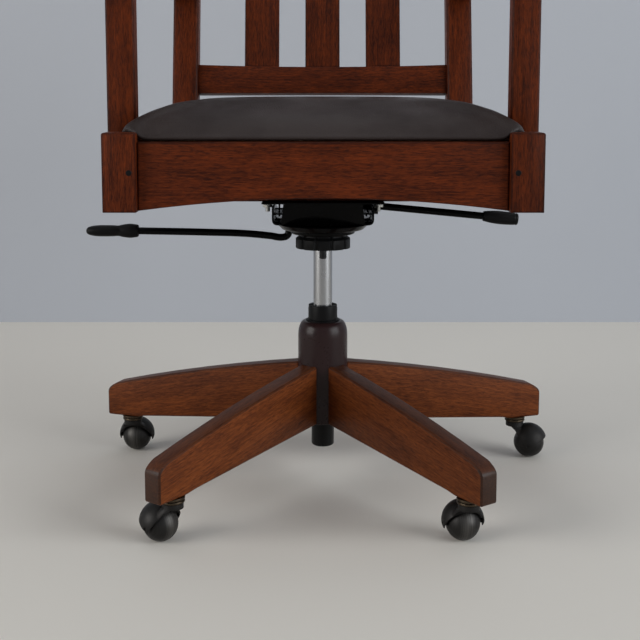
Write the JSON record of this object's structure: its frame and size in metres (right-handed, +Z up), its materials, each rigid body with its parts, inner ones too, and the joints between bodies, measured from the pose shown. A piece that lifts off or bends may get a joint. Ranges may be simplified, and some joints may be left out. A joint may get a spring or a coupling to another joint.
{
  "type": "bankers swivel chair",
  "caption": "Oak bankers swivel armchair with a leather seat, slatted back, tilt mechanism, gas lift and a star base on hooded ball casters.",
  "frame": {"origin": "on the floor, under the middle of the chair's overall box; the column's axis is 29 mm in front of it", "axes": "+Z up, the sitter faces -Y, +X to the right as seen from the front"},
  "size_m": [0.7052, 0.6609, 0.9851],
  "materials": {
    "oak": "satin varnished oak, stained reddish brown",
    "plywood": "raw plywood",
    "leather": "smooth near-black leather, soft sheen",
    "hub_paint": "dark brown satin paint",
    "black_paint": "black gloss paint",
    "black_plastic": "black moulded plastic",
    "satin_chrome": "satin chrome",
    "dark_steel": "oiled steel",
    "gunmetal": "black nickel lacquer, glossy",
    "antique_brass": "aged brass plating"
  },
  "bodies": {
    "base": {"hub": "hub_paint", "column_tube": "black_paint", "column_collar": "black_plastic", "leg_back": "oak", "leg_right_back": "oak", "leg_right_front": "oak", "leg_left_front": "oak", "leg_left_back": "oak", "caster_back_stem": "antique_brass", "caster_right_back_stem": "antique_brass", "caster_right_front_stem": "antique_brass", "caster_left_front_stem": "antique_brass", "caster_left_back_stem": "antique_brass"},
    "spindle": {"piston_rod": "satin_chrome", "thrust_bearing": "dark_steel"},
    "carrier": {"gas_cylinder": "satin_chrome", "control_pan": "black_paint", "socket_bush": "black_paint", "tilt_axle": "dark_steel", "tension_spring": "dark_steel"},
    "valve": {"valve_button": "dark_steel"},
    "seat": {"seat_plate": "black_paint", "seat_deck": "plywood", "seat_cushion": "leather", "mounting_board": "oak", "front_cross_rail": "oak", "back_cross_rail": "oak", "front_rail": "oak", "back_rail": "oak", "lower_back_rail": "oak", "crest_rail": "oak", "back_slat_1": "oak", "back_slat_2": "oak", "back_slat_3": "oak", "left_front_block": "oak", "left_side_rail": "oak", "left_arm_post": "oak", "left_arm": "oak", "left_back_post": "oak", "right_front_block": "oak", "right_side_rail": "oak", "right_arm_post": "oak", "right_arm": "oak", "right_back_post": "oak"},
    "bolt": {"tension_bolt": "dark_steel"},
    "knob": {"tension_knob": "black_plastic"},
    "lift_lever": {"lift_lever": "black_paint", "lift_lever_grip": "black_plastic"},
    "lock_lever": {"lock_lever": "black_paint", "lock_lever_grip": "black_plastic"},
    "caster_back": {"caster_back_hood": "gunmetal"},
    "caster_back_roller": {"caster_back_wheel": "gunmetal"},
    "caster_right_back": {"caster_right_back_hood": "gunmetal"},
    "caster_right_back_roller": {"caster_right_back_wheel": "gunmetal"},
    "caster_right_front": {"caster_right_front_hood": "gunmetal"},
    "caster_right_front_roller": {"caster_right_front_wheel": "gunmetal"},
    "caster_left_front": {"caster_left_front_hood": "gunmetal"},
    "caster_left_front_roller": {"caster_left_front_wheel": "gunmetal"},
    "caster_left_back": {"caster_left_back_hood": "gunmetal"},
    "caster_left_back_roller": {"caster_left_back_wheel": "gunmetal"}
  },
  "joints": [
    {"name": "seat_swivel", "type": "hinge", "parent": "base", "child": "spindle", "pos_m": [0, -0.02904, 0.06], "axis": [0, 0, 1], "continuous": true},
    {"name": "gas_lift", "type": "slide", "parent": "spindle", "child": "carrier", "axis": [0, 0, 1], "range_m": [-0.078, 0.03]},
    {"name": "seat_tilt", "type": "hinge", "parent": "carrier", "child": "seat", "pos_m": [0, -0.05704, 0.408], "axis": [-1, 0, 0], "range_deg": [0, 12], "stiffness_Nm_per_rad": 150, "springref_deg": -11.46},
    {"name": "tension_travel", "type": "slide", "parent": "carrier", "child": "bolt", "axis": [0, 0, 1], "range_m": [0, 0.0112], "deforming": ["tension_spring"]},
    {"name": "knob_turn", "type": "hinge", "parent": "bolt", "child": "knob", "pos_m": [0, -0.10904, 0.374], "axis": [0, 0, 1], "range_deg": [-1080, 1080]},
    {"name": "lift_lever_pull", "type": "hinge", "parent": "carrier", "child": "lift_lever", "pos_m": [0.06975, -0.04104, 0.40945], "axis": [0, -1, 0], "range_deg": [0, 4], "stiffness_Nm_per_rad": 4, "springref_deg": -5.73},
    {"name": "valve_travel", "type": "slide", "parent": "carrier", "child": "valve", "axis": [0, 0, 1], "range_m": [-0.0047, 0]},
    {"name": "lock_lever_swing", "type": "hinge", "parent": "carrier", "child": "lock_lever", "pos_m": [-0.05, -0.04404, 0.39], "axis": [0, 0, 1], "range_deg": [0, 20]},
    {"name": "caster_back_swivel", "type": "hinge", "parent": "base", "child": "caster_back", "pos_m": [0.00423, 0.29393, 0.058], "axis": [0, 0, 1], "continuous": true},
    {"name": "caster_back_spin", "type": "hinge", "parent": "caster_back", "child": "caster_back_roller", "pos_m": [0.02434, 0.28278, 0.0238], "axis": [0.4848, 0.8746, 0], "continuous": true},
    {"name": "caster_right_back_swivel", "type": "hinge", "parent": "base", "child": "caster_right_back", "pos_m": [0.30847, 0.06674, 0.058], "axis": [0, 0, 1], "continuous": true},
    {"name": "caster_right_back_spin", "type": "hinge", "parent": "caster_right_back", "child": "caster_right_back_roller", "pos_m": [0.33081, 0.06128, 0.0238], "axis": [0.2377, 0.9713, 0], "continuous": true},
    {"name": "caster_right_front_swivel", "type": "hinge", "parent": "base", "child": "caster_right_front", "pos_m": [0.18642, -0.29282, 0.058], "axis": [0, 0, 1], "continuous": true},
    {"name": "caster_right_front_spin", "type": "hinge", "parent": "caster_right_front", "child": "caster_right_front_roller", "pos_m": [0.18187, -0.27027, 0.0238], "axis": [-0.9803, -0.1977, 0], "continuous": true},
    {"name": "caster_left_front_swivel", "type": "hinge", "parent": "base", "child": "caster_left_front", "pos_m": [-0.19326, -0.28785, 0.058], "axis": [0, 0, 1], "continuous": true},
    {"name": "caster_left_front_spin", "type": "hinge", "parent": "caster_left_front", "child": "caster_left_front_roller", "pos_m": [-0.21163, -0.274, 0.0238], "axis": [-0.6018, -0.7986, 0], "continuous": true},
    {"name": "caster_left_back_swivel", "type": "hinge", "parent": "base", "child": "caster_left_back", "pos_m": [-0.30586, 0.07478, 0.058], "axis": [0, 0, 1], "continuous": true},
    {"name": "caster_left_back_spin", "type": "hinge", "parent": "caster_left_back", "child": "caster_left_back_roller", "pos_m": [-0.30345, 0.09766, 0.0238], "axis": [-0.9945, 0.1045, 0], "continuous": true}
  ],
  "couplings": [
    {"joint": "tension_travel", "follows": "seat_tilt", "m_per_rad": 0.053},
    {"joint": "valve_travel", "follows": "lift_lever_pull", "m_per_rad": -0.066}
  ]
}
